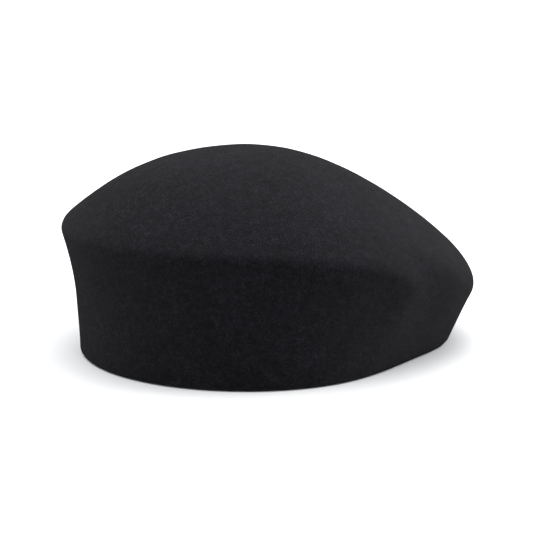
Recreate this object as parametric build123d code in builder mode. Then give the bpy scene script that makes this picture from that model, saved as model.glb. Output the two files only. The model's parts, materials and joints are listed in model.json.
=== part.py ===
"""A blocked felt beret: one moulded felt shell with a turned-in edge, its edge wire, ribbon sweatband,
satin lining, labels and stitching, each piece a separate solid.

The frame's origin is the centre of the hat's footprint, on the plane that its rim stands on. +Z is up,
-Y is the low front, +Y the tall back and +X the wearer's left. All sizes are in millimetres.
"""

import os
from math import cos, exp, pi, sin

from build123d import *

os.makedirs("parts", exist_ok=True)

# Rim outline on the table: an egg, fullest behind its middle and pinched beside the front tip.
rim_front = 103.0
rim_back = 107.6
rim_half_width = 89.7
rim_widest_y = 5.8
pinch = 0.21
pinch_angle = 37.7 * pi / 180
pinch_spread = 26.9 * pi / 180

# Crease, the shoulder line round the crown. It overhangs the rim, and it falls towards the front.
crease_front = 121.6
crease_back = 117.7
crease_half_width = 96.2
crease_widest_y = -8.8
crease_z_front = 38.7
crease_z_side = 70.8
crease_z_back = 74.0
crease_round = 3.6
crease_round_front = 12.6
crease_round_spread = 44 * pi / 180
crease_fade = 9.0
crease_fade_angle = 55 * pi / 180
crease_fade_spread = 13 * pi / 180
crease_dip = 2.4
crease_dip_angle = 132 * pi / 180
crease_dip_spread = 30 * pi / 180

# Wall and dome between them.
wall_power_front = 1.03
wall_power_back = 2.07
apex_y = 14.6
apex_z = 113.0
dome_power_front = 1.95
dome_power_back = 2.44
dome_side_relief = 0.2
cap_share = 0.12

# Felt, and its edge turned up inside over a wire.
felt = 2.4
hem_inner = 4.8
hem_height = 8.0
fold_slot = 0.2
wire_radius = 0.6
wire_room = 0.7
wire_inset = felt + 0.4
wire_z = felt + wire_room
joiner_radius = 1.0
joiner_room = 1.1
joiner_bore = 0.62
joiner_length = 14.0

# Lining: a straight side band and a domed tip, joined on a sloping seam.
lining = 0.3
lining_inset = 4.95
lining_low = 5.0
seam_inset = 4.6
seam_z_front = 48.0
seam_z_back = 78.0
lining_top = 108.0

# Sweatband, a ribbon sewn in along its lower edge, lapped at the back.
ribbon = 0.6
band_outer = 5.4
band_inner = band_outer + ribbon
band_low = 1.2
band_height = 25.0
lap_width = 14.0

# Thread.
thread_radius = 0.2
thread_sunk = 0.08
band_stitch_z = 3.4
band_stitch_length = 2.4
band_stitch_pitch = 4.0
seam_stitch_pitch = 5.0
hem_stitch_pitch = 9.0

# Bow over the ribbon's lap.
bow_z = 13.5
bow_height = 9.0
bow_loop_reach = 12.0
bow_waist = 2.4
bow_depth = 1.4
bow_ribbon = 0.5

# Labels, with nothing on them.
label = 0.3
crown_label_width = 52.0
crown_label_height = 28.0
size_label_width = 16.0
size_label_height = 11.0
size_label_x = 32.0
care_label_width = 24.0
care_label_length = 40.0
care_tab_height = 4.0
care_clearance = 0.35

RING_POINTS = 30
STATIONS = [2 * pi * i / RING_POINTS for i in range(RING_POINTS)]


def off_front(angle):
    """Angle from the front tip, the same on both sides."""
    return min(angle, 2 * pi - angle)


def hump(angle, middle, spread):
    """1 where an angle is at the middle of a stretch of the hat's sides, fading to 0 either way."""
    return exp(-(((off_front(angle) - middle) / spread) ** 2))


def egg(front, back, half_width, widest_y, dent, angle):
    """A plan point. Angle 0 is the front tip and a quarter turn is the +X side."""
    reach = front + widest_y if cos(angle) > 0 else back - widest_y
    dented = 1 - dent * hump(angle, pinch_angle, pinch_spread)
    return half_width * sin(angle) * dented, widest_y - reach * cos(angle)


def rim_point(inset, angle):
    return egg(
        rim_front - inset, rim_back - inset, rim_half_width - inset, rim_widest_y, pinch, angle
    )


def crease_point(inset, angle):
    return egg(
        crease_front - inset, crease_back - inset, crease_half_width - inset,
        crease_widest_y, 0, angle,
    )


def crease_z(angle):
    """Height of the crease: a curve through the front, side and back heights, dipping behind the sides."""
    backward = -cos(angle)
    tilt = (crease_z_back - crease_z_front) / 2
    bow = (crease_z_back + crease_z_front) / 2 - crease_z_side
    dip = crease_dip * hump(angle, crease_dip_angle, crease_dip_spread)
    return crease_z_side + tilt * backward + bow * backward**2 - dip


def from_front_to_back(front_value, back_value, angle):
    return front_value + (back_value - front_value) * (1 - cos(angle)) / 2


def crease_rounding(angle):
    """How far the crease's rounding reaches: crisp round the back, soft at the front, most beside its tip."""
    front = (crease_round_front - crease_round) * hump(angle, 0, crease_round_spread)
    return crease_round + front + crease_fade * hump(angle, crease_fade_angle, crease_fade_spread)


def mix(a, b, share):
    return tuple(p + (q - p) * share for p, q in zip(a, b))


def ring(points):
    """A closed smooth wire through one point per station."""
    knots = [i / RING_POINTS for i in range(RING_POINTS + 1)]
    return Wire([Edge.make_spline(points, periodic=True, parameters=knots)])


def dome_drop(share, power):
    """How far down the dome has come at a share of the way out: none round its flat cap, all at 1."""
    return share**power - cap_share**power * ((1 - share) / (1 - cap_share)) ** 2


def crown_profile(angle, rim_inset, crease_inset, crease_drop, top_z, low_z=0.0):
    """Points from a low level to the cap at one station, with the crease rounded between wall and dome."""
    rim = rim_point(rim_inset, angle)
    corner_xy = crease_point(crease_inset, angle)
    corner_z = crease_z(angle) - crease_drop
    corner = (*corner_xy, corner_z)
    wall_power = from_front_to_back(wall_power_front, wall_power_back, angle)
    dome_power = from_front_to_back(dome_power_front, dome_power_back, angle)
    dome_power -= dome_side_relief * sin(angle) ** 2
    rounding = crease_rounding(angle)
    wall_low, wall_top = low_z / corner_z, 1 - rounding / corner_z
    dome_rim = 1 - rounding / crease_half_width

    def wall(share):
        return (*mix(rim, corner_xy, share**wall_power), corner_z * share)

    def dome(share):
        xy = mix((0, apex_y), corner_xy, share)
        return (*xy, top_z - (top_z - corner_z) * dome_drop(share, dome_power))

    low, high = wall(wall_top), dome(dome_rim)
    rounded = [mix(mix(low, corner, s / 6), mix(corner, high, s / 6), s / 6) for s in range(1, 6)]
    walls = [wall(wall_low + (wall_top - wall_low) * s / 7) for s in range(8)]
    domes = [dome(cap_share + (dome_rim - cap_share) * s / 9) for s in range(9, -1, -1)]
    return [*walls, *rounded, *domes]


def lining_profile(angle, inward, low_z=lining_low):
    """Points from the lining's lower edge to its cap at one station."""
    foot = rim_point(lining_inset + inward, angle)
    seam_xy = rim_point(seam_inset + inward, angle)
    seam = (*seam_xy, seam_plane_z(seam_xy[1]))
    top_z = lining_top - inward

    def tip(share):
        xy = mix((0, apex_y), seam_xy, share)
        return (*xy, top_z - (top_z - seam[2]) * dome_drop(share, dome_power_front))

    band_top = (*foot, hem_height + 2)
    side = [(*foot, low_z), *[mix(band_top, seam, s / 6) for s in range(7)]]
    tips = [tip(cap_share + (1 - cap_share) * s / 8) for s in range(7, -1, -1)]
    return [*side, *tips]


def seam_plane_z(y):
    middle = (seam_z_front + seam_z_back) / 2
    slope = (seam_z_back - seam_z_front) / (rim_front + rim_back)
    return middle + slope * (y - (rim_back - rim_front) / 2)


def loft_profiles(profile):
    """A solid through the rings that the stations' profiles make, level by level."""
    levels = zip(*[profile(angle) for angle in STATIONS])
    return Solid.make_loft([ring(list(level)) for level in levels], ruled=True)


def rim_wire(inset, z=0.0):
    return ring([(*rim_point(inset, angle), z) for angle in STATIONS])


def rim_ring(outer_inset, inner_inset=None):
    """The rim's outline moved inwards, as a flat sketch, less a smaller copy of itself if asked for."""
    with BuildSketch() as band:
        add(Face(rim_wire(outer_inset)))
        if inner_inset:
            add(Face(rim_wire(inner_inset)), mode=Mode.SUBTRACT)
    return band.sketch


def evenly_along(path, pitch):
    """Upright frames on a closed path, a whole number of them about a pitch apart, each z_dir along it."""
    count = round(path.length / pitch)
    shares = [(i + 0.5) / count for i in range(count)]
    return [
        Plane(path.position_at(share), x_dir=(0, 0, 1), z_dir=path.tangent_at(share)).location
        for share in shares
    ]


def finish(piece, name):
    piece.part.label = name
    export_step(piece.part, f"parts/{name}.step")


# Felt shell: the moulded crown and wall, with its edge folded up inside round the wire.
outer_form = loft_profiles(lambda a: crown_profile(a, 0, 0, 0, apex_z))
inner_form = loft_profiles(lambda a: crown_profile(a, felt, felt + 0.4, 1.2, apex_z - felt, hem_height))
mouth = rim_ring(hem_inner)
fold_ring = rim_ring(wire_inset - fold_slot / 2, wire_inset + fold_slot / 2)
wire_ring = rim_ring(wire_inset - wire_room, wire_inset + wire_room)
joiner_ring = rim_ring(wire_inset - joiner_room, wire_inset + joiner_room)

with BuildPart() as felt_body:
    add(outer_form)
    add(inner_form, mode=Mode.SUBTRACT)
    with BuildSketch(Plane.XY):
        add(mouth)
    extrude(amount=hem_height + 0.5, mode=Mode.SUBTRACT)
    with BuildSketch(Plane.XY.offset(wire_z)):
        add(fold_ring)
    extrude(amount=hem_height, mode=Mode.SUBTRACT)
    with BuildSketch(Plane.XY.offset(wire_z - wire_room)):
        add(wire_ring)
    extrude(amount=2 * wire_room, mode=Mode.SUBTRACT)
    with BuildSketch(Plane.XY.offset(wire_z - joiner_room)):
        add(joiner_ring)
        with Locations((0, rim_back)):
            Rectangle(joiner_length + 1, 40, mode=Mode.INTERSECT)
    extrude(amount=2 * joiner_room, mode=Mode.SUBTRACT)
finish(felt_body, "felt_body")

# Edge wire, a ring whose ends butt inside a crimped joiner at the back.
wire_line = rim_wire(wire_inset, wire_z)
with BuildPart() as edge_wire:
    with BuildSketch(Plane(wire_line.position_at(0), z_dir=wire_line.tangent_at(0))):
        Circle(wire_radius)
    sweep(path=wire_line)
    with Locations(wire_line.position_at(0.5)):
        Box(0.3, 3, 3, mode=Mode.SUBTRACT)
finish(edge_wire, "edge_wire")

half_sleeve = joiner_length / 2 / wire_line.length
sleeve_line = wire_line.edge().trim(0.5 - half_sleeve, 0.5 + half_sleeve)
with BuildPart() as wire_joiner:
    with BuildSketch(Plane(sleeve_line.position_at(0), z_dir=sleeve_line.tangent_at(0))):
        Circle(joiner_radius)
        Circle(joiner_bore, mode=Mode.SUBTRACT)
    sweep(path=sleeve_line)
finish(wire_joiner, "wire_joiner")

# Catch stitches that hold the turned-up edge to the wall.
with BuildPart() as hem_stitches:
    hem_top = rim_wire(hem_inner - 1.45, hem_height + thread_radius - thread_sunk)
    with Locations(*evenly_along(hem_top, hem_stitch_pitch)):
        Cylinder(thread_radius, 2.2, rotation=(90, 0, 0))
finish(hem_stitches, "hem_stitches")

# Satin lining, one thin form cut on the seam plane into its side band and its tip.
seam_plane = Plane(
    (0, 0, seam_plane_z(0)),
    x_dir=(1, 0, 0),
    z_dir=(0, -(seam_z_back - seam_z_front), rim_front + rim_back),
)
lining_outside = loft_profiles(lambda a: lining_profile(a, 0))
lining_inside = loft_profiles(lambda a: lining_profile(a, lining, lining_low - 1))

with BuildPart() as lining_cover:
    add(lining_outside)
    add(lining_inside, mode=Mode.SUBTRACT)

with BuildPart() as side_lining:
    add(lining_cover.part)
    split(bisect_by=seam_plane, keep=Keep.BOTTOM)
finish(side_lining, "side_lining")

with BuildPart() as tip_lining:
    add(lining_cover.part)
    split(bisect_by=seam_plane, keep=Keep.TOP)
finish(tip_lining, "tip_lining")

seam_points = [rim_point(seam_inset + lining + 0.12, angle) for angle in STATIONS]
seam_line = ring([(x, y, seam_plane_z(y)) for x, y in seam_points])
with BuildPart() as lining_stitches:
    with Locations(*evenly_along(seam_line, seam_stitch_pitch)):
        Cylinder(thread_radius, 3.0)
finish(lining_stitches, "lining_stitches")

# Sweatband, with the ribbon's folded end lapped over its start at the back.
band_ring = rim_ring(band_outer, band_inner)
lap_ring = rim_ring(band_inner - 0.1, band_inner + ribbon)
with BuildPart() as sweatband:
    with BuildSketch(Plane.XY.offset(band_low)):
        add(lap_ring)
        with Locations((0, rim_back)):
            Rectangle(lap_width, 40, mode=Mode.INTERSECT)
        add(band_ring)
    extrude(amount=band_height)
finish(sweatband, "sweatband")

with BuildPart() as sweatband_stitches:
    band_line = rim_wire(band_inner + thread_radius - thread_sunk, band_stitch_z)
    frames = [
        f for f in evenly_along(band_line, band_stitch_pitch)
        if f.position.Y < 0 or abs(f.position.X) > lap_width / 2 + band_stitch_length
    ]
    with Locations(*frames):
        Cylinder(thread_radius, band_stitch_length)
finish(sweatband_stitches, "sweatband_stitches")

# The lap's own row of stitches, across the ribbon beside its folded end.
lap_face_y = rim_back - band_inner - ribbon
lap_stitch_x = lap_width / 2 - 1.5
with BuildPart() as lap_stitches:
    first_z, last_z = band_low + 2.5, band_low + band_height - 2.5
    with Locations(*[
        (lap_stitch_x, lap_face_y - thread_radius + thread_sunk - 0.2, first_z + (last_z - first_z) * i / 6)
        for i in range(7)
    ]):
        Cylinder(thread_radius, 2.2)
finish(lap_stitches, "lap_stitches")

# Small flat bow over the lap: two open loops, a wrapped knot and the tack that holds it.
bow_y = lap_face_y - 0.5 - bow_depth
with BuildPart() as bow_loops:
    with BuildSketch(Plane.XY.offset(bow_z - bow_height / 2)):
        loop_radius = (bow_loop_reach - bow_waist) / 2
        for side in (-1, 1):
            with Locations((side * (bow_waist + loop_radius), bow_y)):
                Ellipse(loop_radius, bow_depth)
                Ellipse(loop_radius - bow_ribbon, bow_depth - bow_ribbon, mode=Mode.SUBTRACT)
        with Locations((0, bow_y)):
            Rectangle(2 * bow_waist + 0.8, 2 * bow_ribbon)
    extrude(amount=bow_height)
finish(bow_loops, "bow_loops")

knot_room = bow_ribbon + 0.05
with BuildPart() as bow_knot:
    with BuildSketch(Plane.YZ.offset(-bow_waist + 0.2)):
        with Locations((bow_y, bow_z)):
            RectangleRounded(2 * (knot_room + bow_ribbon), bow_height + 0.2 + 2 * bow_ribbon, 0.8)
            Rectangle(2 * knot_room, bow_height + 0.2, mode=Mode.SUBTRACT)
    extrude(amount=2 * (bow_waist - 0.2))
finish(bow_knot, "bow_knot")

tack_start = bow_y + knot_room + bow_ribbon
with BuildPart() as bow_tack:
    with Locations(*[(0, (tack_start + lap_face_y) / 2, bow_z + up) for up in (-2.5, 0, 2.5)]):
        Cylinder(thread_radius, lap_face_y - tack_start, rotation=(90, 0, 0))
finish(bow_tack, "bow_tack")

# Blank woven label under the lining's tip, following its curve.
label_top = loft_profiles(lambda a: lining_profile(a, lining + 0.05))
label_under = loft_profiles(lambda a: lining_profile(a, lining + 0.05 + label))
with BuildPart() as crown_label:
    with BuildSketch(Plane.XY.offset(lining_top - 12)):
        with Locations((0, apex_y)):
            RectangleRounded(crown_label_width, crown_label_height, 1.0)
    extrude(amount=20)
    add(label_top, mode=Mode.INTERSECT)
    add(label_under, mode=Mode.SUBTRACT)
finish(crown_label, "crown_label")

# Size tab on the sweatband, beside the bow on the wearer's left.
size_label_ring = rim_ring(band_inner + 0.05, band_inner + 0.05 + label)
with BuildPart() as size_label:
    with BuildSketch(Plane.XY.offset(band_low + 6)):
        add(size_label_ring)
        with Locations((size_label_x, rim_back)):
            Rectangle(size_label_width, 60, mode=Mode.INTERSECT)
    extrude(amount=size_label_height)
finish(size_label, "size_label")

# Care label, caught under the lining seam at the back: a short sewn tab, and the flap that hangs from it.
seam_back_xy = rim_point(seam_inset + lining, pi)
care_fold_z = seam_plane_z(seam_back_xy[1]) - care_tab_height - 1.0
care_y = seam_back_xy[1] - 1.6
tab_align = (Align.CENTER, Align.MIN, Align.MIN)
with BuildPart() as care_label_tab:
    with Locations((0, care_y - label, care_fold_z + care_clearance)):
        Box(care_label_width, label, care_tab_height, align=tab_align)
    with Locations((0, care_y - label, care_fold_z + care_clearance + care_tab_height - label)):
        Box(care_label_width, 5.0, label, align=tab_align)
    add(lining_inside, mode=Mode.INTERSECT)
finish(care_label_tab, "care_label_tab")

with BuildPart() as care_label_flap:
    with Locations((0, care_y, care_fold_z - care_clearance)):
        Box(care_label_width, label, care_label_length, align=(Align.CENTER, Align.MAX, Align.MAX))
finish(care_label_flap, "care_label_flap")

with BuildPart() as care_label_stitches:
    stitch_z = care_fold_z + care_clearance + care_tab_height / 2
    with Locations(*[
        (care_label_width * (i / 7 - 0.5) * 0.86, care_y - label - thread_radius + thread_sunk, stitch_z)
        for i in range(8)
    ]):
        Cylinder(thread_radius, 2.0, rotation=(0, 90, 0))
finish(care_label_stitches, "care_label_stitches")

print("head size", round(rim_wire(band_inner, 0).length, 1))
print("care label hinge", 0, round(care_y - label / 2, 3), round(care_fold_z, 3))
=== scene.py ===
"""Looks for the moulded felt beret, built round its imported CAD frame. Metres, +Z up, front at -Y."""

import json
import math
import random

import bmesh
import bpy
import numpy as np
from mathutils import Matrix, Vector, noise
from mathutils.bvhtree import BVHTree


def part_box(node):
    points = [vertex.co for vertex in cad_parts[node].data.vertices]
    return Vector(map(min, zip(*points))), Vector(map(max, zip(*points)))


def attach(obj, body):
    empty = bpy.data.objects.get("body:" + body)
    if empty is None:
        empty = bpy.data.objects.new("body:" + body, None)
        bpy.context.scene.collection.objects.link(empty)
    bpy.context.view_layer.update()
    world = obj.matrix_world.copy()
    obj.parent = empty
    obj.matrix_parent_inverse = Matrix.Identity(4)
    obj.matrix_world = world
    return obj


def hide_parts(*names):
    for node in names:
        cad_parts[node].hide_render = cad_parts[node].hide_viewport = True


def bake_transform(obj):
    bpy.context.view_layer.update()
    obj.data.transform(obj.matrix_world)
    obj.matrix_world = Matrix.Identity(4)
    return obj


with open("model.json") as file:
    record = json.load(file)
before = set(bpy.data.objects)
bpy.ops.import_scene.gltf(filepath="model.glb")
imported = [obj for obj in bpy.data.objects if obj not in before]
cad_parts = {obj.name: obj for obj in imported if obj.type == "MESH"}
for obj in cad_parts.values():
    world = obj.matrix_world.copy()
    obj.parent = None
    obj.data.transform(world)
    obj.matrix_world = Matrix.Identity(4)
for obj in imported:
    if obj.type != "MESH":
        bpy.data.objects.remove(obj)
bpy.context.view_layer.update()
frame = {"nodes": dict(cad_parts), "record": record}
random.seed(7)

MM = 0.001
HAT, CARE = "hat", "care_label"

# ---------------------------------------------------------------- the hat's shape, in millimetres

# The rim that the hat stands on, and the crease between its wall and its dome: how far each curve reaches to
# the front and to the back, its half width, and the y at which it is widest.
RIM_FRONT, RIM_BACK, RIM_HALF, RIM_WIDEST_Y = 103.0, 107.6, 89.7, 5.8
CREASE_FRONT, CREASE_BACK, CREASE_HALF, CREASE_WIDEST_Y = 121.6, 117.7, 96.2, -8.8
# The pinch in the rim beside the front tip: share of the half width, angle from the front, spread.
PINCH, PINCH_AT, PINCH_WIDE = 0.21, math.radians(37.7), math.radians(26.9)
# The crease's heights, and the dip in it towards the back: depth, angle from the front, spread.
CREASE_Z_FRONT, CREASE_Z_SIDE, CREASE_Z_BACK = 38.7, 70.8, 74.0
DIP, DIP_AT, DIP_WIDE = 2.4, math.radians(132), math.radians(30)
# How far the crease is rounded off: all round, at the front tip with its spread, and the extra where it fades
# beside the pinch, with its angle from the front and its spread.
ROUND, ROUND_FRONT, ROUND_WIDE = 3.6, 12.6, math.radians(44)
FADE, FADE_AT, FADE_WIDE = 9.0, math.radians(55), math.radians(13)
# Powers of the wall's and the dome's profiles, at the front and at the back, and how much lower the dome's is
# at the sides.
WALL_POWER_FRONT, WALL_POWER_BACK = 1.03, 2.07
DOME_POWER_FRONT, DOME_POWER_BACK, DOME_SIDE_RELIEF = 1.95, 2.44, 0.2
# The dome's top, and the share of the dome's reach that is level there.
APEX_Y, APEX_Z, CAP = 14.6, 113.0, 0.12
# The felt's thickness, the insets of the hem's face and of its back, and the hem's height.
FELT, HEM, HEM_BACK, HEM_TOP = 2.4, 4.8, 2.8, 8.0
# The rounded lower edge's width and height, and the level from which the wall's own curve is followed.
EDGE_WIDE, EDGE_TALL, WALL_LOW = 2.4, 2.2, 2.4
# The sweatband, the lining and its seam: insets from the rim curve, heights, and the seam's stitches.
BAND_OUT, BAND_IN, BAND_LOW, BAND_HIGH = 5.4, 6.0, 1.2, 26.2
LINING, LINING_LOW, LINING_TOP = 4.95, 5.0, 108.0
SEAM_INSET, SEAM_FRONT, SEAM_BACK, SEAM_STITCHES = 4.6, 48.0, 78.0, 115


def smooth(value):
    t = np.clip(value, 0, 1)
    return t * t * (3 - 2 * t)


def hump(off, at, wide):
    """A bell curve, 1 where off is at, falling away over about wide on each side."""
    return np.exp(-(((off - at) / wide) ** 2))


def from_front(a):
    return np.minimum(a % (2 * np.pi), 2 * np.pi - a % (2 * np.pi))


def egg(front, back, half, widest_y, dent, a):
    """Plan curve. Angle 0 is the front tip, a quarter turn is +X."""
    c, s = np.cos(a), np.sin(a)
    reach = np.where(c > 0, front + widest_y, back - widest_y)
    dented = 1 - dent * hump(from_front(a), PINCH_AT, PINCH_WIDE)
    return half * s * dented, widest_y - reach * c


def rim_xy(inset, a):
    return egg(RIM_FRONT - inset, RIM_BACK - inset, RIM_HALF - inset, RIM_WIDEST_Y, PINCH, a)


def crease_xy(inset, a):
    return egg(CREASE_FRONT - inset, CREASE_BACK - inset, CREASE_HALF - inset, CREASE_WIDEST_Y, 0, a)


def crease_z(a):
    u = -np.cos(a)
    tilt = (CREASE_Z_BACK - CREASE_Z_FRONT) / 2
    bow = (CREASE_Z_BACK + CREASE_Z_FRONT) / 2 - CREASE_Z_SIDE
    dip = DIP * hump(from_front(a), DIP_AT, DIP_WIDE)
    return CREASE_Z_SIDE + tilt * u + bow * u**2 - dip


def ease(front, back, a):
    return front + (back - front) * (1 - np.cos(a)) / 2


def crease_rounding(a):
    off = from_front(a)
    at_front = (ROUND_FRONT - ROUND) * hump(off, 0, ROUND_WIDE)
    return ROUND + at_front + FADE * hump(off, FADE_AT, FADE_WIDE)


def dome_fall(r, power):
    """The share of a dome's height lost at the share r of its reach. Within CAP of its middle it is level."""
    kept = CAP**power * ((1 - r) / (1 - CAP)) ** 2
    return r**power - np.where(r > CAP, kept, r**power)


def seam_z(y):
    slope = (SEAM_BACK - SEAM_FRONT) / (RIM_FRONT + RIM_BACK)
    return (SEAM_FRONT + SEAM_BACK) / 2 + slope * (y - (RIM_BACK - RIM_FRONT) / 2)


def crown_rows(a, inset_rim, inset_crease, drop, top, low_z, wall_n, round_n, dome_n):
    """Rows of points from a low level to just short of the apex, for the angles a."""
    rx, ry = rim_xy(inset_rim, a)
    cx, cy = crease_xy(inset_crease, a)
    cz = crease_z(a) - drop
    wall_power = ease(WALL_POWER_FRONT, WALL_POWER_BACK, a)
    dome_power = ease(DOME_POWER_FRONT, DOME_POWER_BACK, a) - DOME_SIDE_RELIEF * np.sin(a) ** 2
    rounding = crease_rounding(a)
    wall_low, wall_top = low_z / cz, 1 - rounding / cz
    dome_rim = 1 - rounding / CREASE_HALF

    def wall(t):
        k = np.maximum(t, 1e-9) ** wall_power
        return np.stack([rx + (cx - rx) * k, ry + (cy - ry) * k, cz * t], -1)

    def dome(r):
        fall = (top - cz) * dome_fall(r, dome_power)
        return np.stack([cx * r, APEX_Y + (cy - APEX_Y) * r, top - fall], -1)

    corner = np.stack([cx, cy, cz], -1)
    low, high = wall(wall_top), dome(dome_rim)
    rows = [wall(wall_low + (wall_top - wall_low) * i / wall_n) for i in range(wall_n + 1)]
    for i in range(1, round_n):
        s = i / round_n
        p, q = low + (corner - low) * s, corner + (high - corner) * s
        rows.append(p + (q - p) * s)
    rows += [dome(dome_rim * (1 - i / dome_n)) for i in range(dome_n)]
    return rows


def flat_row(inset, z, a):
    x, y = rim_xy(inset, a)
    return np.stack([x, y, np.full_like(x, z)], -1)


# ---------------------------------------------------------------- mesh helpers

def new_mesh(name, verts, faces):
    mesh = bpy.data.meshes.new(name)
    mesh.from_pydata([tuple(v) for v in verts], [], faces)
    mesh.validate()
    mesh.update()
    mesh.polygons.foreach_set("use_smooth", [True] * len(mesh.polygons))
    obj = bpy.data.objects.new(name, mesh)
    bpy.context.scene.collection.objects.link(obj)
    return obj


def loops_to_faces(rows, n, first_pole=None, last_pole=None):
    """Quads between closed rows of n vertices, with fans to optional poles."""
    faces = []
    for r in range(rows - 1):
        for i in range(n):
            j = (i + 1) % n
            faces.append((r * n + i, r * n + j, (r + 1) * n + j, (r + 1) * n + i))
    if first_pole is not None:
        faces += [(first_pole, (i + 1) % n, i) for i in range(n)]
    if last_pole is not None:
        base = (rows - 1) * n
        faces += [(last_pole, base + i, base + (i + 1) % n) for i in range(n)]
    return faces


def lumps(points, size, amount, seed=0.0):
    """A smooth random height per point, for lumps of about that size, in the points' own units."""
    off = Vector((seed, seed * 1.7, seed * 0.3))
    return np.array([noise.noise(Vector(p) / size + off) for p in points]) * amount


# ---------------------------------------------------------------- node materials

def material(name):
    m = bpy.data.materials.new(name)
    m.use_nodes = True
    nodes, links = m.node_tree.nodes, m.node_tree.links
    shader = nodes["Principled BSDF"]
    return m, nodes, links, shader


def node(nodes, kind, **values):
    n = nodes.new(kind)
    for key, value in values.items():
        if key in n.inputs:
            n.inputs[key].default_value = value
        else:
            setattr(n, key, value)
    return n


def texture(nodes, links, at, kind, **values):
    """A texture node read at a place."""
    n = node(nodes, "ShaderNodeTex" + kind, **values)
    links.new(at, n.inputs["Vector"])
    return n


def ramp(nodes, links, source, stops):
    r = nodes.new("ShaderNodeValToRGB")
    r.color_ramp.elements[0].position, r.color_ramp.elements[0].color = stops[0][0], (*stops[0][1], 1)
    r.color_ramp.elements[1].position, r.color_ramp.elements[1].color = stops[-1][0], (*stops[-1][1], 1)
    for position, colour in stops[1:-1]:
        e = r.color_ramp.elements.new(position)
        e.color = (*colour, 1)
    links.new(source, r.inputs["Fac"])
    return r.outputs["Color"]


def object_coords(nodes, links, scale=(1, 1, 1)):
    tc = nodes.new("ShaderNodeTexCoord")
    mp = node(nodes, "ShaderNodeMapping")
    mp.inputs["Scale"].default_value = scale
    links.new(tc.outputs["Object"], mp.inputs["Vector"])
    return mp.outputs["Vector"]


def attribute(nodes, name):
    n = nodes.new("ShaderNodeAttribute")
    n.attribute_name = name
    return n.outputs["Fac"]


def calc(nodes, links, operation, a, b=0.0, c=0.0):
    """A Math node on sockets or plain numbers."""
    n = nodes.new("ShaderNodeMath")
    n.operation = operation
    for i, value in enumerate((a, b, c)):
        if isinstance(value, (int, float)):
            n.inputs[i].default_value = value
        else:
            links.new(value, n.inputs[i])
    return n.outputs[0]


def multiplied(nodes, links, first, second):
    """Two colours multiplied."""
    mix = node(nodes, "ShaderNodeMixRGB", blend_type="MULTIPLY", Fac=1.0)
    links.new(first, mix.inputs["Color1"])
    links.new(second, mix.inputs["Color2"])
    return mix.outputs["Color"]


def sine(nodes, links, turned):
    """A sine of an angle, from 0 to 1."""
    return calc(nodes, links, "MULTIPLY_ADD", calc(nodes, links, "SINE", turned), 0.5, 0.5)


def waves(nodes, links, source, pitch):
    """0 to 1 and back once in each pitch, in metres."""
    return sine(nodes, links, calc(nodes, links, "MULTIPLY_ADD", source, 2 * math.pi / pitch))


def surface(shader, roughness, specular, sheen, sheen_rough=0.5, anisotropic=0.0):
    shader.inputs["Roughness"].default_value = roughness
    shader.inputs["Specular IOR Level"].default_value = specular
    shader.inputs["Sheen Weight"].default_value = sheen
    shader.inputs["Sheen Roughness"].default_value = sheen_rough
    shader.inputs["Anisotropic"].default_value = anisotropic


def vary_roughness(nodes, links, shader, source, low, high):
    rough = node(nodes, "ShaderNodeMapRange")
    rough.inputs["To Min"].default_value = low
    rough.inputs["To Max"].default_value = high
    links.new(source, rough.inputs["Value"])
    links.new(rough.outputs["Result"], shader.inputs["Roughness"])


def bump_chain(nodes, links, shader, heights):
    """Bumps in a row: each entry is (height socket, strength, distance in metres)."""
    last = None
    for socket, strength, distance in heights:
        b = nodes.new("ShaderNodeBump")
        b.inputs["Strength"].default_value = strength
        b.inputs["Distance"].default_value = distance
        links.new(socket, b.inputs["Height"])
        if last:
            links.new(last, b.inputs["Normal"])
        last = b.outputs["Normal"]
    links.new(last, shader.inputs["Normal"])


# ---------------------------------------------------------------- materials

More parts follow.
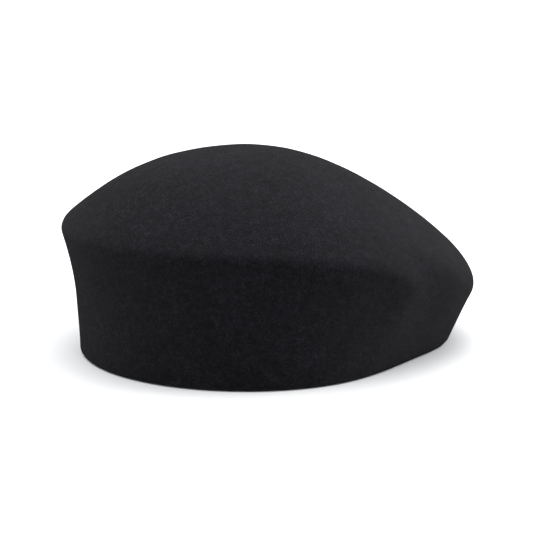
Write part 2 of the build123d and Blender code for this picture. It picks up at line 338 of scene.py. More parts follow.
def felt_material():
    """Matted black wool: fine nap over broader mats, tufts lighter or darker, and slow clouds of tone."""
    m, nodes, links, shader = material("felt_black")
    at = object_coords(nodes, links)
    warp = texture(nodes, links, at, "Noise", Scale=900.0, Detail=3.0)
    bent = node(nodes, "ShaderNodeMixRGB", blend_type="LINEAR_LIGHT", Fac=0.004)
    links.new(at, bent.inputs["Color1"])
    links.new(warp.outputs["Color"], bent.inputs["Color2"])
    wavy = bent.outputs["Color"]
    fibres = texture(nodes, links, wavy, "Voronoi", feature="DISTANCE_TO_EDGE", Scale=1400.0)
    tufts = texture(nodes, links, wavy, "Voronoi", Scale=1100.0)
    nap = texture(nodes, links, at, "Noise", Scale=1300.0, Detail=6.0, Roughness=0.72)
    matted = texture(nodes, links, at, "Noise", Scale=240.0, Detail=5.0, Roughness=0.6)
    cloudy = texture(nodes, links, at, "Noise", Scale=28.0, Detail=3.0, Roughness=0.55)

    nap_part = calc(nodes, links, "MULTIPLY", nap.outputs["Fac"], 0.75)
    blend = calc(nodes, links, "MULTIPLY_ADD", matted.outputs["Fac"], 0.25, nap_part)
    wool = ramp(nodes, links, blend, [
        (0.39, (0.0022, 0.0022, 0.0032)), (0.5, (0.0046, 0.0046, 0.0062)), (0.61, (0.0084, 0.0084, 0.0105))])
    clouds = ramp(nodes, links, cloudy.outputs["Fac"], [(0.3, (0.82, 0.82, 0.85)), (0.7, (1.15, 1.15, 1.18))])
    per_tuft = nodes.new("ShaderNodeSeparateColor")
    links.new(tufts.outputs["Color"], per_tuft.inputs["Color"])
    flecks = ramp(nodes, links, per_tuft.outputs["Red"], [
        (0.0, (0.19, 0.19, 0.21)), (0.35, (0.55, 0.55, 0.58)),
        (0.7, (0.93, 0.93, 0.95)), (1.0, (2.6, 2.5, 2.35))])
    colour = multiplied(nodes, links, multiplied(nodes, links, wool, clouds), flecks)
    links.new(colour, shader.inputs["Base Color"])
    surface(shader, roughness=0.95, specular=0.0, sheen=0.04, sheen_rough=0.6)
    shader.inputs["Sheen Tint"].default_value = (1.0, 0.96, 0.95, 1)
    bump_chain(nodes, links, shader, [
        (matted.outputs["Fac"], 0.2, 0.0005), (nap.outputs["Fac"], 1.0, 0.0007),
        (fibres.outputs["Distance"], 0.25, 0.00025), (tufts.outputs["Distance"], 0.4, 0.0004)])
    return m


def woven_material(name, stops, rib, pick, depth, roughness, sheen, frame_stops=None):
    """Yarns along and across a strip: ribs every rib metres along it, picks every pick metres across it.
    The frame stops colour a border by its distance from the edge, as a share of edge_reach."""
    m, nodes, links, shader = material(name)
    at = object_coords(nodes, links)
    uneven = texture(nodes, links, at, "Noise", Scale=420.0, Detail=4.0, Roughness=0.6).outputs["Fac"]
    bent = calc(nodes, links, "MULTIPLY_ADD", uneven, rib * 0.35, attribute(nodes, "along"))
    ribs = waves(nodes, links, bent, rib)
    picks = waves(nodes, links, attribute(nodes, "across"), pick)
    crossed = calc(nodes, links, "MULTIPLY", ribs, calc(nodes, links, "MULTIPLY_ADD", picks, 0.35, 0.65))
    worn = calc(nodes, links, "MULTIPLY_ADD", uneven, 0.5, -0.25)
    colour = ramp(nodes, links, calc(nodes, links, "ADD", crossed, worn), stops)
    if frame_stops:
        edge_reach = 0.004
        rim = calc(nodes, links, "MULTIPLY", attribute(nodes, "edge"), 1 / edge_reach)
        colour = multiplied(nodes, links, colour, ramp(nodes, links, rim, frame_stops))
    links.new(colour, shader.inputs["Base Color"])
    surface(shader, roughness=roughness, specular=0.25, sheen=sheen)
    bump_chain(nodes, links, shader, [(crossed, 0.7, depth), (uneven, 0.25, depth)])
    return m


def satin_material():
    """Smooth black cloth with very fine yarns and slow changes of tone."""
    m, nodes, links, shader = material("satin_black")
    yarns = object_coords(nodes, links, (900, 900, 5200))
    fine = texture(nodes, links, yarns, "Noise", Scale=1.0, Detail=3.0, Roughness=0.7).outputs["Fac"]
    at = object_coords(nodes, links)
    soft = texture(nodes, links, at, "Noise", Scale=55.0, Detail=3.0, Roughness=0.5).outputs["Fac"]
    soft_part = calc(nodes, links, "MULTIPLY_ADD", soft, 0.16, 0.145)
    mixed = calc(nodes, links, "MULTIPLY_ADD", fine, 0.55, soft_part)
    colour = ramp(nodes, links, mixed, [
        (0.35, (0.012, 0.012, 0.014)), (0.5, (0.021, 0.021, 0.024)), (0.66, (0.036, 0.036, 0.041))])
    links.new(colour, shader.inputs["Base Color"])
    surface(shader, roughness=0.45, specular=0.3, sheen=0.08, sheen_rough=0.4, anisotropic=0.5)
    vary_roughness(nodes, links, shader, soft, 0.4, 0.52)
    bump_chain(nodes, links, shader, [(soft, 0.35, 0.0008), (fine, 0.3, 0.00005)])
    return m


def thread_material(name, dark, light):
    """Two strands twisted together, one of them on top every twist metres."""
    m, nodes, links, shader = material(name)
    twist = 0.00045
    around = calc(nodes, links, "MULTIPLY", attribute(nodes, "turn"), 2.0)
    spiral = calc(nodes, links, "MULTIPLY_ADD", attribute(nodes, "along"), 2 * math.pi / twist, around)
    strands = sine(nodes, links, spiral)
    at = object_coords(nodes, links)
    fuzz = texture(nodes, links, at, "Noise", Scale=6000.0, Detail=3.0).outputs["Fac"]
    strand_part = calc(nodes, links, "MULTIPLY", strands, 0.6)
    tone = calc(nodes, links, "MULTIPLY_ADD", fuzz, 0.4, strand_part)
    links.new(ramp(nodes, links, tone, [(0.2, dark), (0.8, light)]), shader.inputs["Base Color"])
    surface(shader, roughness=0.5, specular=0.35, sheen=0.15)
    bump_chain(nodes, links, shader, [(strands, 0.8, 0.00006), (fuzz, 0.3, 0.00002)])
    return m


def metal_material(name, dark, light, roughness):
    """Drawn metal with fine marks, slightly tarnished."""
    m, nodes, links, shader = material(name)
    marks = object_coords(nodes, links, (300, 300, 4000))
    drawn = texture(nodes, links, marks, "Noise", Scale=1.0, Detail=4.0, Roughness=0.7).outputs["Fac"]
    at = object_coords(nodes, links)
    tarnish = texture(nodes, links, at, "Noise", Scale=180.0, Detail=4.0).outputs["Fac"]
    links.new(ramp(nodes, links, tarnish, [(0.35, dark), (0.65, light)]), shader.inputs["Base Color"])
    vary_roughness(nodes, links, shader, drawn, roughness - 0.1, roughness + 0.15)
    shader.inputs["Metallic"].default_value = 1.0
    bump_chain(nodes, links, shader, [(drawn, 0.3, 0.00003)])
    return m


FELT_MAT = felt_material()
GROSGRAIN = woven_material(
    "grosgrain_black",
    [(0.1, (0.006, 0.006, 0.007)), (0.5, (0.02, 0.02, 0.023)), (0.95, (0.042, 0.042, 0.047))],
    rib=0.0009, pick=0.0003, depth=0.00012, roughness=0.55, sheen=0.15)
DAMASK = woven_material(
    "woven_label_charcoal",
    [(0.1, (0.02, 0.02, 0.023)), (0.5, (0.045, 0.045, 0.05)), (0.95, (0.085, 0.085, 0.095))],
    rib=0.00045, pick=0.00035, depth=0.00006, roughness=0.5, sheen=0.15,
    frame_stops=[(0.16, (1, 1, 1)), (0.2, (2.6, 2.6, 2.5)), (0.34, (2.6, 2.6, 2.5)), (0.38, (1, 1, 1))])
TAPE = woven_material(
    "care_tape_white", [(0.1, (0.52, 0.51, 0.48)), (0.5, (0.68, 0.67, 0.64)), (0.95, (0.8, 0.79, 0.77))],
    rib=0.0004, pick=0.0003, depth=0.00004, roughness=0.42, sheen=0.1)
SATIN = satin_material()
THREAD = thread_material("thread_black", (0.006, 0.006, 0.007), (0.035, 0.035, 0.04))
LABEL_THREAD = thread_material("thread_white", (0.42, 0.41, 0.39), (0.78, 0.77, 0.74))
STEEL = metal_material("steel_wire", (0.42, 0.42, 0.44), (0.62, 0.62, 0.64), 0.32)
BRASS = metal_material("brass_sleeve", (0.52, 0.37, 0.14), (0.76, 0.6, 0.3), 0.3)

# ---------------------------------------------------------------- felt shell

ANGLES = np.arange(480) * 2 * np.pi / 480
# Hand-blocked unevenness begins at this height and grows to its full size over this distance.
UNEVEN_FROM, UNEVEN_FADE = 6.0, 16.0
# The soft upright fold beside the front tip, in degrees from the front: a ridge and the hollow next to it.
RIDGE, RIDGE_AT, RIDGE_WIDE = 1.3, 62, 6
HOLLOW, HOLLOW_AT, HOLLOW_WIDE = 1.1, 48, 8
# Where the fold begins, over how much it grows, where it ends, and over how much it fades, from 0 at the rim
# to 1 at the crease.
FOLD_FROM, FOLD_GROW, FOLD_TO, FOLD_FADE = 0.2, 0.35, 1.1, 0.22
# The middle of the hat's inside, from which outward is measured.
HEART = np.array([0, APEX_Y, 40.0])


def shell_section(a):
    """The felt's rows of points: inside from the apex down, round the hem and the edge, and up outside.
    Also the number of the first row outside."""
    outer = crown_rows(
        a, inset_rim=0, inset_crease=0, drop=0, top=APEX_Z, low_z=WALL_LOW, wall_n=36, round_n=12, dome_n=46)
    inner = crown_rows(
        a, inset_rim=FELT, inset_crease=FELT + 0.4, drop=1.2, top=APEX_Z - FELT, low_z=HEM_TOP,
        wall_n=12, round_n=6, dome_n=16)
    # Insets and heights: down into the gap behind the hem, up its back, over its cut edge and down its face.
    hem = [(FELT, 6.0), (FELT, 4.4), (FELT + 0.2, 3.6), (HEM_BACK + 0.2, 3.6)]
    hem += [(HEM_BACK + 0.35, 4.6), (HEM_BACK + 0.35, 6.0), (HEM_BACK + 0.35, 7.2)]
    hem += [(HEM_BACK + 0.75, 7.95), (HEM_BACK + 1.2, HEM_TOP), (HEM - 0.45, 7.9)]
    hem += [(HEM, 7.2), (HEM, 5.4), (HEM, 3.6)]
    quarter = [math.pi / 2 * k / 8 for k in range(9)]
    edge = [(HEM - EDGE_WIDE * (1 - math.cos(t)), EDGE_TALL - EDGE_TALL * math.sin(t)) for t in quarter]
    edge += [(EDGE_WIDE * (1 - math.sin(t)), EDGE_TALL - EDGE_TALL * math.cos(t)) for t in quarter[1:]]
    rows = inner[::-1] + [flat_row(inset, z, a) for inset, z in hem + edge]
    return rows + outer, len(rows)


def felt_shell():
    rows, first_outer = shell_section(ANGLES)
    grid = np.array(rows)
    outward = grid - HEART
    outward /= np.linalg.norm(outward, axis=-1, keepdims=True)
    off = np.degrees(from_front(ANGLES))
    fold = RIDGE * hump(off, RIDGE_AT, RIDGE_WIDE) - HOLLOW * hump(off, HOLLOW_AT, HOLLOW_WIDE)
    for r in range(first_outer, len(rows)):
        points = grid[r]
        swell = lumps(points, size=62.0, amount=0.9, seed=3.1)
        swell += lumps(points, size=17.0, amount=0.22, seed=9.4)
        low = np.clip((points[:, 2] - UNEVEN_FROM) / UNEVEN_FADE, 0, 1)
        level = points[:, 2] / crease_z(ANGLES)
        beside_tip = fold * smooth((level - FOLD_FROM) / FOLD_GROW) * smooth((FOLD_TO - level) / FOLD_FADE)
        grid[r] = points + outward[r] * (swell * low + beside_tip)[:, None]
    pole_in = np.array([[0, APEX_Y, APEX_Z - FELT]])
    pole_out = np.array([[0, APEX_Y, grid[-1][:, 2].mean() + 0.02]])
    verts = np.concatenate([grid.reshape(-1, 3), pole_in, pole_out]) * MM
    n = len(rows) * len(ANGLES)
    faces = loops_to_faces(len(rows), len(ANGLES), n, n + 1)
    obj = new_mesh("felt_shell", verts, faces)
    obj.data.materials.append(FELT_MAT)
    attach(obj, HAT)
    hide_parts("felt_body")


# ---------------------------------------------------------------- strips and thread

FINE = np.linspace(0, 2 * np.pi, 4001)
UP = np.array([0.0, 0.0, 1.0])


def distances(inset):
    """Distances along the rim curve, at the angles FINE."""
    x, y = rim_xy(inset, FINE)
    return np.concatenate([[0.0], np.cumsum(np.hypot(np.diff(x), np.diff(y)))])


def evenly(inset, count, start=0.0):
    """Angles that share the rim's length evenly, from the front tip round by the wearer's left."""
    s = distances(inset)
    return np.interp((np.arange(count) + start) / count * s[-1], s, FINE)


def angle_from_back(inset, along):
    """The angle at a distance from the middle of the back, by the wearer's left and on round."""
    s = distances(inset)
    target = np.interp(np.pi, FINE, s) - along
    turns = np.floor(target / s[-1])
    return np.interp(target - turns * s[-1], s, FINE) + turns * 2 * np.pi


def rim_frames(inset, angles):
    """Points on the rim curve with their directions along it and inwards, at z 0."""
    x, y = rim_xy(inset, angles)
    x2, y2 = rim_xy(inset, angles + 0.002)
    ahead = np.stack([x2 - x, y2 - y, np.zeros_like(x)], -1)
    ahead /= np.linalg.norm(ahead, axis=-1, keepdims=True)
    inward = np.stack([-ahead[:, 1], ahead[:, 0], np.zeros_like(x)], -1)
    return np.stack([x, y, np.zeros_like(x)], -1), ahead, inward


def run_along(points):
    """Distances along a line of points, from its first."""
    return np.concatenate([[0], np.cumsum(np.hypot(*np.diff(points, axis=0).T))])


def per_station(values, count):
    """Values given once per station, as a grid with count rows."""
    return np.repeat(values[:, None], count, axis=1)


def per_row(values, count):
    """Values given once per row, as a grid with count stations."""
    return np.repeat(values[None], count, axis=0)


def set_attribute(obj, name, values):
    a = obj.data.attributes.new(name, "FLOAT", "POINT")
    a.data.foreach_set("value", np.asarray(values, np.float32))


def tidy_normals(obj, sharp=50):
    """Normals outwards, and edges sharper than this many degrees kept sharp."""
    bm = bmesh.new()
    bm.from_mesh(obj.data)
    bmesh.ops.recalc_face_normals(bm, faces=bm.faces)
    bm.to_mesh(obj.data)
    bm.free()
    obj.data.set_sharp_from_angle(angle=math.radians(sharp))


def strip(name, front, back, along, across, closed=False, edge=None):
    """A thin solid between two faces, each an array of stations by rows by xyz in millimetres."""
    loops = np.concatenate([front, back[:, ::-1]], axis=1)
    stations, width = loops.shape[:2]
    faces = []
    for s in range(stations if closed else stations - 1):
        t = (s + 1) % stations
        for i in range(width):
            j = (i + 1) % width
            faces.append((s * width + i, s * width + j, t * width + j, t * width + i))
    if not closed:
        faces += [tuple(range(width))[::-1], tuple((stations - 1) * width + i for i in range(width))]
    obj = new_mesh(name, loops.reshape(-1, 3) * MM, faces)
    for key, values in (("along", along), ("across", across), ("edge", edge)):
        if values is not None:
            set_attribute(obj, key, np.concatenate([values, values[:, ::-1]], axis=1).ravel() * MM)
    tidy_normals(obj)
    return obj


def own(obj, body, slot_name, mat, *nodes):
    """Gives a piece its material and the body it rides on, if one, and hides the CAD nodes it stands for. Its
    slot name is not used.
    """
    obj.data.materials.append(mat)
    if body:
        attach(obj, body)
    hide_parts(*nodes)


def stitches(name, items, length, radius=0.2, rise=0.1):
    """Short bowed lengths of thread whose ends dive into the cloth.
    Each item is (middle, direction, outward), in millimetres."""
    rings, sides = 9, 8
    wobble, dive, taper, flatness = 0.07, 0.9, 0.35, 0.85
    verts, faces, along, turn = [], [], [], []
    for middle, direction, outward in items:
        d, o = Vector(direction).normalized(), Vector(outward).normalized()
        d = (d + o.cross(d) * random.uniform(-wobble, wobble)).normalized()
        side, base = d.cross(o), len(verts)
        for k in range(rings):
            s = 2 * k / (rings - 1) - 1
            lift = rise * (1 - s * s) - dive * radius * abs(s) ** 5
            centre = Vector(middle) + d * (s * length / 2) + o * lift
            r = radius * (1 - taper * abs(s) ** 6)
            for q in range(sides):
                t = 2 * math.pi * q / sides
                verts.append((centre + side * (r * math.cos(t)) + o * (flatness * r * math.sin(t))) * MM)
                along.append(s * length / 2 * MM)
                turn.append(t)
        for k in range(rings - 1):
            for q in range(sides):
                w, z = base + k * sides, (q + 1) % sides
                faces.append((w + q, w + z, w + sides + z, w + sides + q))
        last = base + (rings - 1) * sides
        faces += [tuple(base + q for q in range(sides))[::-1], tuple(last + q for q in range(sides))]
    obj = new_mesh(name, verts, faces)
    set_attribute(obj, "along", along)
    set_attribute(obj, "turn", turn)
    tidy_normals(obj)
    return obj


# ---------------------------------------------------------------- sweatband and lining

def sweatband():
    """Ribbon held along its lower edge and lapped at the back.
    Away from the bow, its upper edge leans in a little."""
    thick, half_lap, lap_rise, clearance = 0.5, 7.0, 0.65, 0.05
    calm_reach, calm_fade, most_lean = 48, 24, 1.1
    total = distances(BAND_OUT)[-1]
    along = np.linspace(-half_lap, total + half_lap, 900)
    share = np.linspace(0, 1, 15)
    climb = smooth((along - (total - half_lap - 6)) / 5) * lap_rise
    from_back = np.minimum(np.abs(along), np.abs(total - along))
    loose = smooth((from_back - calm_reach) / calm_fade)
    wave = 0.4 + 0.3 * np.sin(along / 15.4 + 1.3) + 0.22 * np.sin(along / 6.3)
    wave += 0.12 * np.sin(along / 3.1 + 2)
    lean = (loose * np.clip(wave, 0, 1))[:, None] * share**2 * most_lean
    ripple = 0.036 * np.sin(along / 2.1) + 0.024 * np.sin(along / 0.9)
    height = (BAND_HIGH - BAND_LOW) * share
    z = BAND_LOW + height + ripple[:, None] * (1 - share)
    base, _, inward = rim_frames(BAND_OUT, angle_from_back(BAND_OUT, along))

    def face(extra):
        shift = clearance + extra + climb[:, None] + lean
        return base[:, None] + inward[:, None] * shift[..., None] + UP * z[..., None]

    obj = strip(
        "sweatband_ribbon", face(0), face(thick), per_station(along, len(share)), per_row(height, len(along)))
    own(obj, HAT, "ribbon", GROSGRAIN, "sweatband")


def seam_edge(angles):
    """The seam between the lining's side band and its tip, drawn a little into the felt by its stitches."""
    base, _, inward = rim_frames(SEAM_INSET, angles)
    base[:, 2] = seam_z(base[:, 1])
    pull = 0.35 + 0.25 * np.cos(np.linspace(0, 2 * np.pi * SEAM_STITCHES, len(angles), endpoint=False))
    return base - inward * pull[:, None]


def side_lining():
    """The lining's side band: flat where something holds it, and in upright tucks where nothing does."""
    thick, upright_to, tuck_depth = 0.25, 10, 1.5
    label_y, label_reach, label_fade = 102, 18, 16
    free_from, free_rise, seam_fade = 28, 12, 5
    angles = evenly(LINING, 720)
    foot, _, inward = rim_frames(LINING, angles)
    top = seam_edge(angles)
    arc = np.linspace(0, distances(LINING)[-1], len(angles), endpoint=False)
    beside_label = smooth((np.hypot(foot[:, 0], foot[:, 1] - label_y) - label_reach) / label_fade)
    share = np.linspace(0, 1, 27)
    rows = []
    for h in share:
        z = LINING_LOW + (top[:, 2] - LINING_LOW) * h
        k = np.clip((z - upright_to) / (top[:, 2] - upright_to), 0, 1)
        point = foot + (top - foot) * k[:, None]
        point[:, 2] = z
        free = smooth((z - free_from) / free_rise) * smooth((top[:, 2] - z) / seam_fade) * beside_label
        tuck = np.array([
            1.0 * noise.noise(Vector((s / 13.0, height / 70.0, 0.4)))
            + 0.5 * noise.noise(Vector((s / 5.5, height / 50.0, 7.1)))
            for s, height in zip(arc, z)])
        rows.append(point + inward * (free * tuck * tuck_depth)[:, None])
    outer = np.stack(rows, axis=1)
    inner = outer + inward[:, None] * thick
    obj = strip("lining_side", outer, inner, per_station(arc, len(share)), outer[:, :, 2], closed=True)
    own(obj, HAT, "lining", SATIN, "side_lining")


def gathered_dome(count, rings):
    """The tip's points, ring by ring from its seam to its middle, gathered where they meet the seam."""
    power, gather, length = 1.95, 1.5, 560
    edge = seam_edge(evenly(SEAM_INSET, count))
    rows = []
    for r in range(rings):
        share = 1 - r / rings
        point = edge * share
        point[:, 1] += APEX_Y * (1 - share)
        point[:, 2] = LINING_TOP - (LINING_TOP - edge[:, 2]) * dome_fall(share, power)
        pleats = np.array([
            noise.noise(Vector((s / 6.5, share * 2.5, 3.3)))
            + 0.6 * noise.noise(Vector((s / 2.8, share * 3.5, 8.8)))
            for s in np.linspace(0, length, count, endpoint=False)])
        point[:, 2] += gather * pleats * float(smooth((share - 0.35) / 0.5) * smooth((1 - share) / 0.06))
        rows.append(point)
    return np.concatenate([np.array(rows).reshape(-1, 3), [[0, APEX_Y, LINING_TOP]]]) * MM


def settle(obj, verts, limit, frames):
    """Lets cloth sag for some frames, then keeps its new shape with every move held under the limit."""
    cloth = obj.modifiers.new("cloth", "CLOTH")
    s = cloth.settings
    s.quality, s.mass, s.tension_stiffness, s.compression_stiffness = 6, 0.12, 12, 12
    s.shear_stiffness, s.bending_stiffness, s.air_damping = 4, 0.15, 3
    s.vertex_group_mass = "held"
    s.shrink_min = -0.03
    cloth.collision_settings.use_collision = False
    scene = bpy.context.scene
    for f in range(1, frames + 1):
        scene.frame_set(f)
    settled = obj.evaluated_get(bpy.context.evaluated_depsgraph_get()).to_mesh()
    moved = np.array([v.co for v in settled.vertices]) - verts
    scene.frame_set(1)
    obj.modifiers.remove(cloth)
    reach = np.linalg.norm(moved, axis=1, keepdims=True)
    moved *= np.where(reach > 1e-9, limit * np.tanh(reach / limit) / np.maximum(reach, 1e-9), 0)
    obj.data.vertices.foreach_set("co", (verts + moved).ravel())
    obj.data.update()


def tip_lining():
    """A satin dome cut a little large, so that its weight and its slack wrinkle it between its seams."""
    count, rings = 360, 30
    verts = gathered_dome(count, rings)
    obj = new_mesh("lining_tip", verts, loops_to_faces(rings, count, None, rings * count))
    held = obj.vertex_groups.new(name="held")
    held.add(list(range(count * 2)), 1.0, "REPLACE")
    settle(obj, verts, limit=0.0032, frames=26)
    tidy_normals(obj, 80)
    mesh = obj.data
    under = BVHTree.FromPolygons([v.co.copy() for v in mesh.vertices], [p.vertices[:] for p in mesh.polygons])
    shell = obj.modifiers.new("cloth_thickness", "SOLIDIFY")
    shell.thickness, shell.offset = 0.0003, 0
    own(obj, HAT, "lining", SATIN, "tip_lining")
    return under


# ---------------------------------------------------------------- labels

LABEL_THICK = 0.3


def label_edge(u, v):
    """Distance to the nearest edge of a label, from centred grids in millimetres."""
    return np.minimum(np.abs(u).max() - np.abs(u), np.abs(v).max() - np.abs(v))


def crown_label(under):
    """A label laid on the tip lining from below. It follows the lining, smoothed, and stays clear of it."""
    low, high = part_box("crown_label")
    start_z, gap, passes = 40.0, 0.22, 12
    middle = [(low[i] + high[i]) / 2 / MM for i in range(2)]
    half_w, half_h = (high[0] - low[0]) / 2 / MM, (high[1] - low[1]) / 2 / MM
    u, v = np.meshgrid(np.linspace(-half_w, half_w, 53), np.linspace(-half_h, half_h, 29), indexing="ij")
    z = np.zeros_like(u)
    for i in np.ndindex(u.shape):
        start = Vector((middle[0] + u[i], middle[1] + v[i], start_z)) * MM
        hit = under.ray_cast(start, Vector((0, 0, 1)))[0]
        z[i] = hit.z / MM
    soft = z.copy()
    for _ in range(passes):
        soft[1:-1, 1:-1] = (soft[:-2, 1:-1] + soft[2:, 1:-1] + soft[1:-1, :-2] + soft[1:-1, 2:]) / 4
        soft = np.minimum(soft, z)
    top = np.stack([middle[0] + u, middle[1] + v, soft - gap], -1)
    bottom = top - UP * LABEL_THICK
    obj = strip("label_crown", top, bottom, u, v, edge=label_edge(u, v))
    own(obj, HAT, "woven_label", DAMASK, "crown_label")


def size_label():
    """A tab on the sweatband whose upper and lower edges lift a little."""
    low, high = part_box("size_label")
    inset, gap, most_lift = BAND_IN + 0.1, 0.02, 0.12
    a = np.linspace(math.pi / 2 + 0.4, math.pi, 500)
    xs, _ = rim_xy(inset, a)
    wanted = np.linspace(low[0] / MM, high[0] / MM, 25)
    base, _, inward = rim_frames(inset, np.interp(wanted, xs[::-1], a[::-1]))
    z = np.linspace(low[2] / MM, high[2] / MM, 15)
    u = per_station(wanted - wanted.mean(), len(z))
    v = per_row(z - z.mean(), len(wanted))
    lift = most_lift * (np.abs(v) / np.abs(v).max()) ** 3 * (1 + 0.4 * np.sin(u))
    back = base[:, None] + inward[:, None] * (gap + lift)[..., None] + UP * z[None, :, None]
    front = back + inward[:, None] * LABEL_THICK
    obj = strip("label_size", back, front, u, v, edge=label_edge(u, v))
    own(obj, HAT, "woven_label", DAMASK, "size_label")


def care_label():
    """One tape from the lining's seam down over the hinge line, attached to neither of the two bodies."""
    tab_low, tab_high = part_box("care_label_tab")
    flap_low, flap_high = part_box("care_label_flap")
    half_thick, bend, swing_in, cupping = 0.14, 0.9, 1.1, 0.6
    y0 = (flap_low[1] + flap_high[1]) / 2 / MM
    top, bottom = tab_high[2] / MM - 0.2, flap_low[2] / MM
    hinge = frame["record"]["behaviour"]["joints"][0]["pos_m"][2] / MM
    quarter = np.linspace(0.2, math.pi / 2, 6)
    path = [(tab_high[1] / MM - 0.25, top), (y0 + bend + 0.4, top)]
    path += [(y0 + bend * (1 - math.sin(t)), top - bend * (1 - math.cos(t))) for t in quarter]
    path += [(y0, z) for z in np.linspace(top - bend - 0.25, hinge - 2.5, 24)]
    path += [(y0, z) for z in np.linspace(hinge - 4, bottom, 30)]
    path = np.array(path)
    run = run_along(path)
    step = np.gradient(path, run, axis=0)
    step /= np.linalg.norm(step, axis=1, keepdims=True)
    normal = np.stack([step[:, 1], -step[:, 0]], -1)
    # Below the hinge the flap hangs slightly inwards, and cups across its width.
    hang = np.clip((hinge - 3 - path[:, 1]) / (hinge - 3 - bottom), 0, 1)
    x = np.linspace(tab_low[0], tab_high[0], 19) / MM
    curl = -(swing_in * hang**2)[:, None] - (cupping * hang)[:, None] * (x / x.max()) ** 2

    def face(offset):
        y = path[:, :1] + normal[:, :1] * offset + curl
        z = path[:, 1:] + normal[:, 1:] * offset + 0 * x
        return np.stack([0 * y + x, y, z], -1)

    obj = strip(
        "label_care", face(-half_thick), face(half_thick), per_station(run, len(x)), per_row(x, len(run)))
    own(obj, None, "care_label", TAPE, "care_label_tab", "care_label_flap")
    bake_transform(obj)


# ---------------------------------------------------------------- bow

def bow_ribbon():
    """A flattened ring of ribbon: its two loops puff out, and the knot pinches its waist into pleats."""
    low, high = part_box("bow_loops")
    half_thick, waist, narrowing, pleat_depth, wobble = 0.2, 4.2, 0.2, 0.096, 0.09
    y0, z0 = (low[1] + high[1]) / 2 / MM, (low[2] + high[2]) / 2 / MM
    reach, deep, tall = high[0] / MM, (high[1] - low[1]) / 2 / MM, (high[2] - low[2]) / 2 / MM
    across = -np.cos(np.linspace(0, np.pi, 61)) * (reach - 0.25)
    far = np.abs(across) / reach
    closing = np.sqrt(np.clip(1 - ((far - 0.55) / 0.45).clip(0) ** 2, 0, 1))
    puff = 0.28 + (deep - 0.5) * smooth(far * 2.1) * closing
    puff[0] = puff[-1] = 0
    there, back = np.stack([across, y0 - puff], -1), np.stack([across[::-1], y0 + puff[::-1]], -1)
    line = np.concatenate([there, back[1:-1]])
    ahead = np.roll(line, -1, axis=0) - np.roll(line, 1, axis=0)
    ahead /= np.linalg.norm(ahead, axis=1, keepdims=True)
    out = np.stack([ahead[:, 1], -ahead[:, 0]], -1)
    share = np.linspace(-1, 1, 17)
    near_waist = hump(line[:, 0], 0, waist)[:, None]
    height = tall * (1 - narrowing * near_waist)
    pleat = pleat_depth * near_waist * np.cos(share * 9.4)
    sway = wobble * np.sin(line[:, :1] * 0.7 + share * 2) * (1 - near_waist)

    def face(offset):
        x = line[:, :1] + out[:, :1] * offset + 0 * share
        y = line[:, 1:] + out[:, 1:] * offset + pleat * np.sign(out[:, 1:] + 1e-6)
        return np.stack([x, y, z0 + height * share + sway], -1)

    run = run_along(line)
    obj = strip(
        "bow_ribbon", face(-half_thick), face(half_thick), per_station(run, len(share)),
        per_row(share * tall, len(line)), closed=True)
    own(obj, HAT, "ribbon", GROSGRAIN, "bow_loops")


def bow_wrap():
    """The bow's knot: a flattened sleeve of ribbon round its middle, narrower at its top and bottom."""
    low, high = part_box("bow_knot")
    thick = 0.4
    y0, z0 = (low[1] + high[1]) / 2 / MM, (low[2] + high[2]) / 2 / MM
    half_y, half_z, half_x = (high[1] - low[1]) / 2 / MM, (high[2] - low[2]) / 2 / MM, high[0] / MM
    turn = np.linspace(0, 2 * np.pi, 48, endpoint=False)
    c, s = np.cos(turn)[:, None], np.sin(turn)[:, None]
    share = np.linspace(-1, 1, 13)
    half_width = half_x * (1 - 0.12 * np.abs(s) ** 3)

    def sleeve(inset):
        y = np.sign(c) * (np.abs(c) ** 0.45 * half_y - inset * np.abs(c) ** 0.4) * (1 - 0.07 * share**2)
        z = np.sign(s) * (np.abs(s) ** 0.8 * half_z - inset * np.abs(s) ** 0.4) * (1 - 0.02 * share**2)
        return np.stack([share * half_width, y0 + y, z0 + z], -1)

    run = np.linspace(0, 2 * math.pi * 3.4, len(turn), endpoint=False)
    obj = strip(
        "bow_wrap", sleeve(0), sleeve(thick), per_station(run, len(share)),
        per_row(share * half_x, len(turn)), closed=True)
    own(obj, HAT, "ribbon", GROSGRAIN, "bow_knot")


# ---------------------------------------------------------------- sewing and hidden metal

def on_rim(inset, count, z=None, radial=False):
    """Stitches shared evenly round the rim curve, at height z or else on the lining's seam.
    They run along the curve, or across it if radial."""
    base, ahead, inward = rim_frames(inset, evenly(inset, count, 0.5))
    for p, t, n in zip(base, ahead, inward):
        height = seam_z(p[1]) if z is None else z
        yield (p[0], p[1], height), (n if radial else t), (UP if radial else n)


def rim_stitches():
    edge_reach, hem_count, hem_z = 1.45, 65, 8.05
    hem = list(on_rim(HEM - edge_reach, hem_count, z=hem_z, radial=True))
    own(stitches("stitches_hem", hem, 2.2), HAT, "thread", THREAD, "hem_stitches")
    seam = list(on_rim(SEAM_INSET + 0.38, SEAM_STITCHES))
    own(stitches("stitches_lining", seam, 3.0, radius=0.17), HAT, "thread", THREAD, "lining_stitches")
    # The sweatband's row stops on either side of the ribbon's lap, which is sewn down by a row of its own.
    inset, pitch, lap_reach = BAND_IN + 0.1, 4.0, 9.4
    count = round(distances(inset)[-1] / pitch)
    band = [s for s in on_rim(inset, count, z=3.4) if s[0][1] < 0 or abs(s[0][0]) > lap_reach]
    own(stitches("stitches_band", band, 2.4), HAT, "thread", THREAD, "sweatband_stitches")


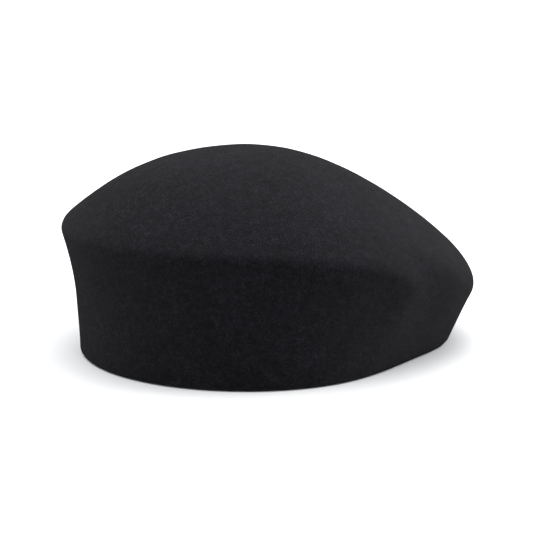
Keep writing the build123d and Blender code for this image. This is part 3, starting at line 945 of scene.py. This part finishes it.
def small_stitches():
    low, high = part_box("lap_stitches")
    x, y = (low[0] + high[0]) / 2 / MM, high[1] / MM - 0.1
    heights = np.linspace(low[2] / MM + 1.1, high[2] / MM - 1.1, 7)
    lap = [((x, y, z), (0.02, 0, 1), (0, -1, 0)) for z in heights]
    own(stitches("stitches_lap", lap, 2.2), HAT, "thread", THREAD, "lap_stitches")

    low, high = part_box("care_label_stitches")
    y, z = high[1] / MM - 0.15, (low[2] + high[2]) / 2 / MM
    places = np.linspace(low[0] / MM + 1, high[0] / MM - 1, 8)
    care = [((x, y, z), (1, 0, 0), (0, -1, 0)) for x in places]
    obj = stitches("stitches_care", care, 2.0, radius=0.17, rise=0.08)
    own(obj, HAT, "label_thread", LABEL_THREAD, "care_label_stitches")

    low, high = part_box("bow_tack")
    middle, length = (low[1] + high[1]) / 2 / MM, (high[1] - low[1]) / MM
    heights = np.linspace(low[2] / MM + 0.2, high[2] / MM - 0.2, 3)
    tack = [((0, middle, z), (0, 1, 0), (1, 0, 0)) for z in heights]
    own(stitches("stitches_tack", tack, length, rise=0.0), HAT, "thread", THREAD, "bow_tack")


def carried_over():
    """The CAD's own meshes that stay, with their real materials."""
    for name, mat in (("edge_wire", STEEL), ("wire_joiner", BRASS)):
        for place in frame["nodes"][name].material_slots:
            place.material = mat


felt_shell()
sweatband()
side_lining()
crown_label(tip_lining())
size_label()
care_label()
bow_ribbon()
bow_wrap()
rim_stitches()
small_stitches()
carried_over()

# ---------------------------------------------------------------- floor, light, camera

def pale_floor():
    bpy.ops.mesh.primitive_plane_add(size=8, location=(0, 0, -0.0002))
    floor = bpy.context.object
    floor.name = "floor"
    m, _, _, shader = material("floor_white")
    shader.inputs["Base Color"].default_value = (0.6, 0.6, 0.6, 1)
    shader.inputs["Roughness"].default_value = 0.9
    floor.data.materials.append(m)


def pale_surround():
    world = bpy.data.worlds.new("studio")
    bpy.context.scene.world = world
    world.use_nodes = True
    world.node_tree.nodes["Background"].inputs["Color"].default_value = (0.94, 0.97, 1, 1)
    world.node_tree.nodes["Background"].inputs["Strength"].default_value = 0.92


def softbox(name, place, size, power):
    """A round area light aimed at the middle of the hat."""
    light = bpy.data.lights.new(name, "AREA")
    light.shape, light.size, light.energy = "DISK", size, power
    obj = bpy.data.objects.new(name, light)
    obj.location = place
    obj.rotation_euler = (Vector((0, 0, 0.05)) - Vector(place)).to_track_quat("-Z", "Y").to_euler()
    bpy.context.scene.collection.objects.link(obj)


def camera():
    """The photo's view, from the hat's right side and slightly behind.
    The picture's middle lies left of the aim and above it."""
    cam = bpy.data.cameras.new("camera")
    cam.lens, cam.sensor_width, cam.clip_end = 162.5, 36, 20
    obj = bpy.data.objects.new("camera", cam)
    bpy.context.scene.collection.objects.link(obj)
    azimuth, elevation, distance = math.radians(257.11), math.radians(16.87), 1.374
    aim, left, above = Vector((0, -0.0057, 0)), 0.007025, 0.04295
    back = Vector((math.sin(azimuth) * math.cos(elevation), -math.cos(azimuth) * math.cos(elevation),
                   math.sin(elevation)))
    right = back.cross(Vector((0, 0, 1))).normalized() * -1
    up = back.cross(right).normalized()
    middle = aim - right * left + up * above
    obj.location = aim + back * distance
    obj.rotation_euler = (obj.location - middle).to_track_quat("Z", "Y").to_euler()
    bpy.context.scene.camera = obj
    bpy.context.scene.view_settings.view_transform = "Standard"


pale_floor()
pale_surround()
softbox("top_light", (0.1, 0.1, 1.5), 2.0, 48)
softbox("front_light", (-0.2, -1.4, 1.0), 1.0, 24)
camera()
